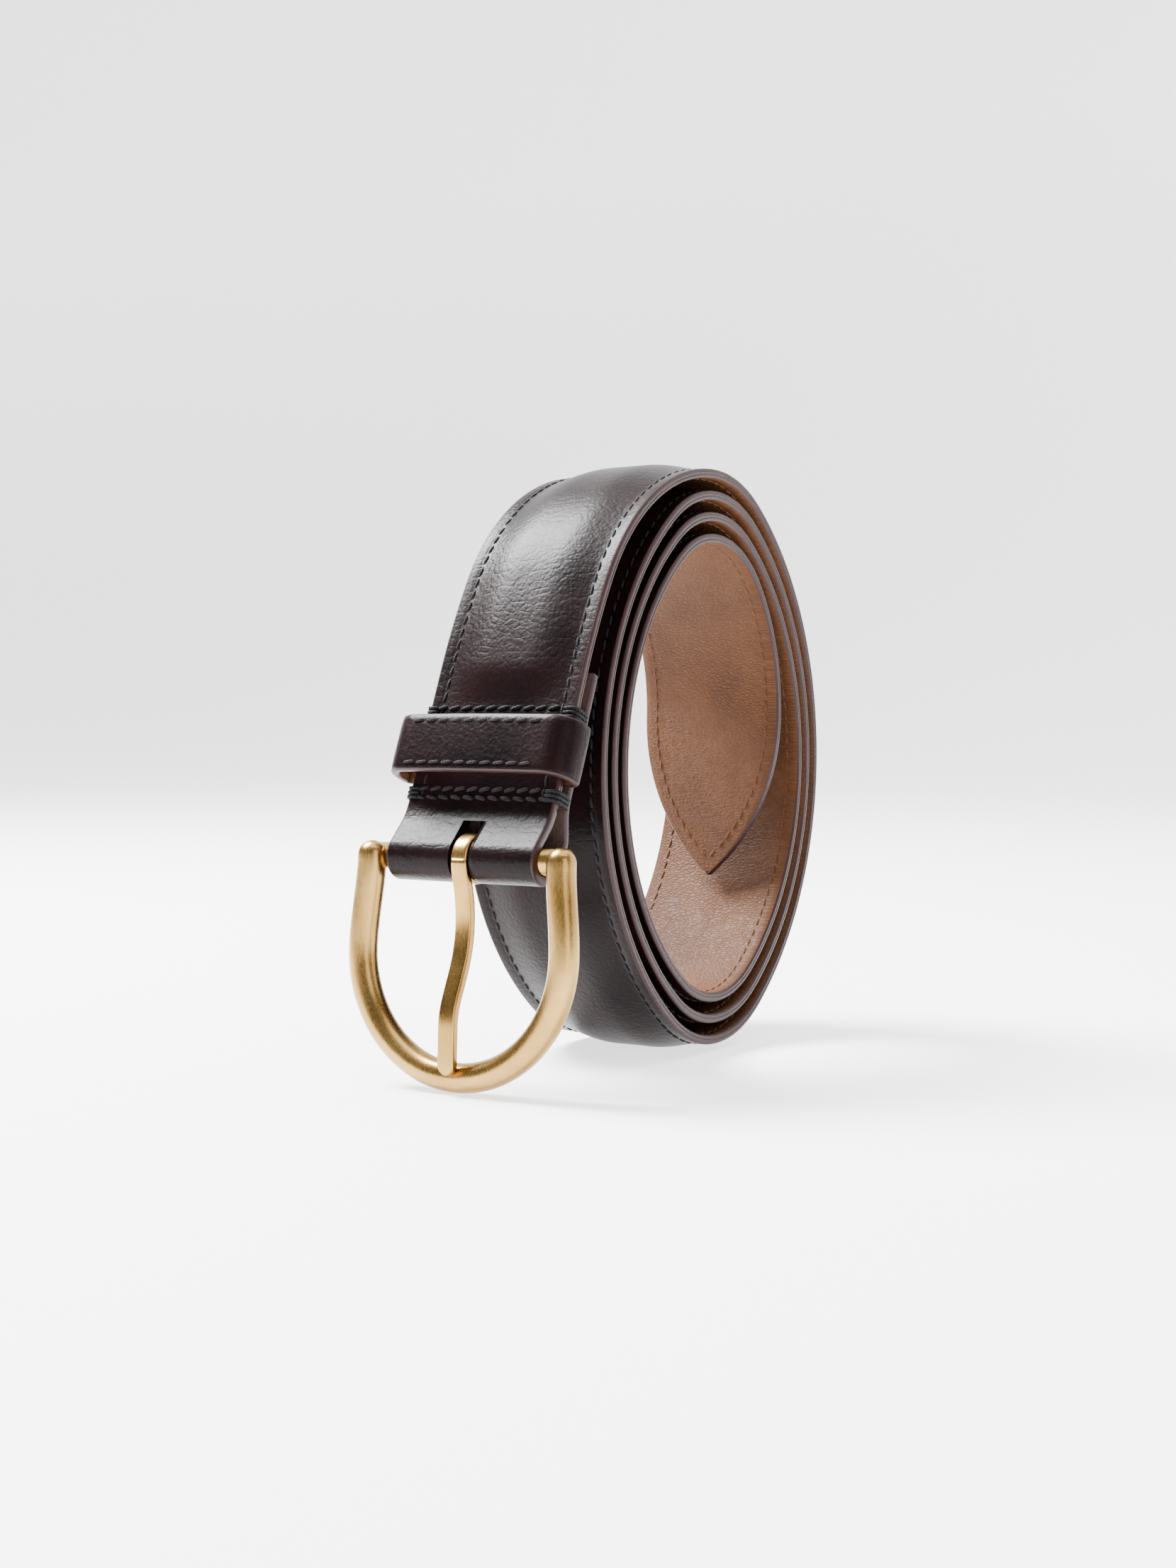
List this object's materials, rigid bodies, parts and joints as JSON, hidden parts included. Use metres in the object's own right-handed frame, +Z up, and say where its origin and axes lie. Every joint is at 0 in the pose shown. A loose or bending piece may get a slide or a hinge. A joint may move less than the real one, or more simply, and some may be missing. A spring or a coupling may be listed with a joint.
{
  "type": "coiled leather dress belt",
  "caption": "Padded leather dress belt coiled on its rim, with a hanging brass frame buckle, swinging prong, keeper loop and pointed, punched tip.",
  "frame": {"origin": "On the ground, under the middle of the coiled belt's bounding box.", "axes": "+Z up; +X across the strap's width, along the buckle's heel bar; the buckle faces -Y."},
  "size_m": [0.0538, 0.125, 0.1272],
  "materials": {
    "grain_leather": "semi-gloss crowned grain with painted edges",
    "lining_leather": "matt, finely wrinkled",
    "black_thread": "matt",
    "brown_thread": "matt",
    "brass": "brushed satin, pale"
  },
  "bodies": {
    "strap": {"strap_cover": "grain_leather", "strap_lining": "lining_leather", "edge_stitching": "black_thread", "lining_stitching": "brown_thread", "cross_stitching": "black_thread", "keeper_cover": "grain_leather", "keeper_lining": "lining_leather", "keeper_stitching": "black_thread"},
    "buckle": {"buckle_frame": "brass", "heel_bar": "brass"},
    "prong": {"prong": "brass"}
  },
  "joints": [
    {"name": "frame_swing", "type": "hinge", "parent": "strap", "child": "buckle", "pos_m": [0, -0.05303, 0.04497], "axis": [-1, 0, 0], "range_deg": [0, 60]},
    {"name": "prong_swing", "type": "hinge", "parent": "buckle", "child": "prong", "pos_m": [0, -0.05303, 0.04497], "axis": [-1, 0, 0], "range_deg": [0, 50]}
  ]
}
